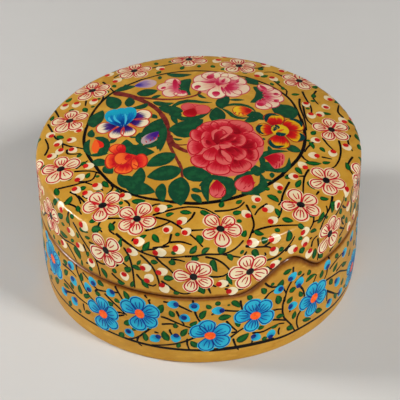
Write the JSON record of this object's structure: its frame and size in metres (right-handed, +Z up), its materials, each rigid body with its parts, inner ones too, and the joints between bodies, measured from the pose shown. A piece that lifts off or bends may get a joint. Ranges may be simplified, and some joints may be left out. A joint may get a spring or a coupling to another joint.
{
  "type": "round lidded papier mache trinket box",
  "caption": "Round lidded trinket box of painted and lacquered papier mache, with a domed lift-off lid whose sawn seam has one locating wave.",
  "frame": {"origin": "middle of the flat underside, on the surface that the box stands on", "axes": "+Z up through the middle of the domed lid, -Y towards the front, +X to the right with the wave of the seam between the front and the right"},
  "size_m": [0.1, 0.1, 0.052],
  "materials": {
    "gold_lacquer_lid": "papier mache with gold ground, painted flowers and gloss lacquer outside, black inside",
    "gold_lacquer_base": "papier mache with gold ground, painted flowers and gloss lacquer outside, black inside",
    "black_lacquer_floor": "papier mache disc, black lacquer",
    "black_lacquer_collar": "pasted card band, black lacquer"
  },
  "bodies": {
    "base": {"base_wall": "gold_lacquer_base", "base_floor": "black_lacquer_floor", "inner_collar": "black_lacquer_collar"},
    "lid": {"lid_shell": "gold_lacquer_lid"}
  },
  "joints": [
    {"name": "lid_lift", "type": "slide", "parent": "base", "child": "lid", "axis": [0, 0, 1], "range_m": [0, 0.06]}
  ]
}
